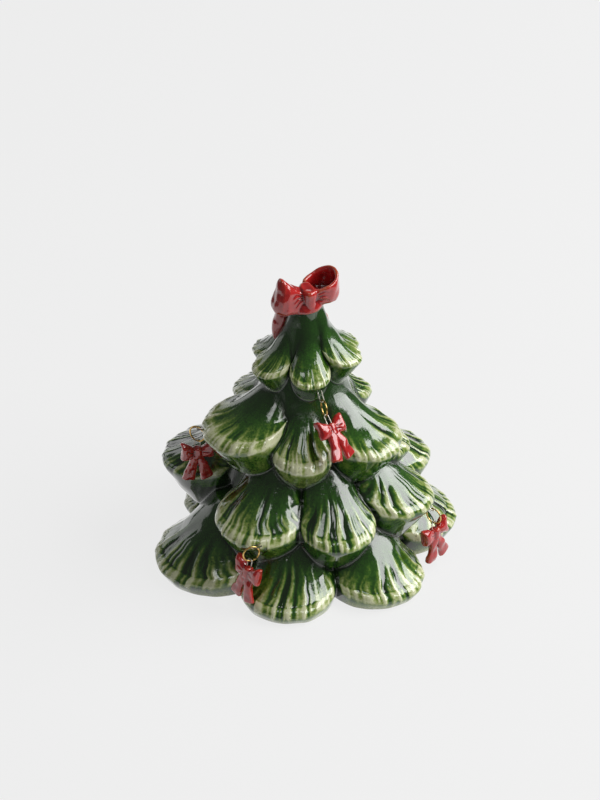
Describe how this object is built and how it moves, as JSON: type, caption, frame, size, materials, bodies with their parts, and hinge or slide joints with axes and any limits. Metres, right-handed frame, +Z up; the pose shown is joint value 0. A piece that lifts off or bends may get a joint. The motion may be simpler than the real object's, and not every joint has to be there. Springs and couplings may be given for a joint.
{
  "type": "christmas tree figurine",
  "caption": "Glazed ceramic christmas tree figurine with fluted petal-shaped boughs, a bow on top and small bows that swing from wire loops and jump rings.",
  "frame": {"origin": "middle of the footprint's box, on the surface that the figurine stands on", "axes": "+Z up through the bow, -Y towards the viewer in the picture, +X to the viewer's right"},
  "size_m": [0.1495, 0.1496, 0.1578],
  "materials": {
    "green_glaze": "glossy green glaze over a slip casting: bottle green on top, olive in the flutes, pale cream green on ridges and rims",
    "red_glaze": "glossy red glaze, a little thin and orange brown at the edges",
    "silver_wire": "dull silver coloured wire",
    "gold_wire": "bright gold coloured wire"
  },
  "bodies": {
    "tree": {"tree_body": "green_glaze", "top_bow": "red_glaze", "bough_eyelet_1": "silver_wire", "bough_eyelet_2": "silver_wire", "bough_eyelet_3": "silver_wire", "bough_eyelet_4": "silver_wire", "bough_eyelet_5": "silver_wire", "bough_eyelet_6": "silver_wire", "bough_eyelet_7": "silver_wire"},
    "ring_1": {"jump_ring_1": "gold_wire"},
    "charm_1": {"charm_eyelet_1": "silver_wire", "charm_bow_1": "red_glaze"},
    "ring_2": {"jump_ring_2": "gold_wire"},
    "charm_2": {"charm_eyelet_2": "silver_wire", "charm_bow_2": "red_glaze"},
    "ring_3": {"jump_ring_3": "gold_wire"},
    "charm_3": {"charm_eyelet_3": "silver_wire", "charm_bow_3": "red_glaze"},
    "ring_4": {"jump_ring_4": "gold_wire"},
    "charm_4": {"charm_eyelet_4": "silver_wire", "charm_bow_4": "red_glaze"},
    "ring_5": {"jump_ring_5": "gold_wire"},
    "charm_5": {"charm_eyelet_5": "silver_wire", "charm_bow_5": "red_glaze"},
    "ring_6": {"jump_ring_6": "gold_wire"},
    "charm_6": {"charm_eyelet_6": "silver_wire", "charm_bow_6": "red_glaze"},
    "ring_7": {"jump_ring_7": "gold_wire"},
    "charm_7": {"charm_eyelet_7": "silver_wire", "charm_bow_7": "red_glaze"}
  },
  "joints": [
    {"name": "ring_swing_1", "type": "hinge", "parent": "tree", "child": "ring_1", "pos_m": [0.00842, -0.02783, 0.10131], "axis": [-0.9397, -0.342, 0], "range_deg": [-2, 60]},
    {"name": "charm_swing_1", "type": "hinge", "parent": "ring_1", "child": "charm_1", "pos_m": [0.01019, -0.03268, 0.09614], "axis": [0.2418, -0.6645, 0.7071], "range_deg": [-20, 20]},
    {"name": "ring_swing_2", "type": "hinge", "parent": "tree", "child": "ring_2", "pos_m": [-0.0529, -0.01445, 0.07611], "axis": [0.5, 0.866, 0], "range_deg": [0, 50]},
    {"name": "charm_swing_2", "type": "hinge", "parent": "ring_2", "child": "charm_2", "pos_m": [-0.0529, -0.01445, 0.06881], "axis": [-0.866, 0.5, 0], "range_deg": [0, 30]},
    {"name": "ring_swing_3", "type": "hinge", "parent": "tree", "child": "ring_3", "pos_m": [-0.02579, -0.06257, 0.03862], "axis": [-0.342, 0.9397, 0], "range_deg": [0, 40]},
    {"name": "charm_swing_3", "type": "hinge", "parent": "ring_3", "child": "charm_3", "pos_m": [-0.02675, -0.06292, 0.03139], "axis": [-0.9305, -0.3387, 0.1392], "range_deg": [-5, 25]},
    {"name": "ring_swing_4", "type": "hinge", "parent": "tree", "child": "ring_4", "pos_m": [0.06335, -0.02774, 0.03601], "axis": [-0.5736, -0.8191, 0], "range_deg": [0, 50]},
    {"name": "charm_swing_4", "type": "hinge", "parent": "ring_4", "child": "charm_4", "pos_m": [0.06335, -0.02774, 0.02871], "axis": [0.8191, -0.5736, 0], "range_deg": [-10, 20]},
    {"name": "ring_swing_5", "type": "hinge", "parent": "tree", "child": "ring_5", "pos_m": [-0.00169, 0.02847, 0.10303], "axis": [1, 0, 0], "range_deg": [-6, 60]},
    {"name": "charm_swing_5", "type": "hinge", "parent": "ring_5", "child": "charm_5", "pos_m": [-0.00169, 0.03336, 0.0976], "axis": [0, 0.7431, 0.6691], "range_deg": [-20, 20]},
    {"name": "ring_swing_6", "type": "hinge", "parent": "tree", "child": "ring_6", "pos_m": [0.00333, 0.04768, 0.0695], "axis": [0.9848, -0.1736, 0], "range_deg": [-4, 50]},
    {"name": "charm_swing_6", "type": "hinge", "parent": "ring_6", "child": "charm_6", "pos_m": [0.00397, 0.05128, 0.06318], "axis": [0.1504, 0.8529, 0.5], "range_deg": [-20, 20]},
    {"name": "ring_swing_7", "type": "hinge", "parent": "tree", "child": "ring_7", "pos_m": [-0.03921, 0.05298, 0.03538], "axis": [0, 1, 0], "range_deg": [-2, 50]},
    {"name": "charm_swing_7", "type": "hinge", "parent": "ring_7", "child": "charm_7", "pos_m": [-0.04072, 0.05298, 0.02824], "axis": [-0.9781, 0, 0.2079], "range_deg": [-20, 10]}
  ]
}
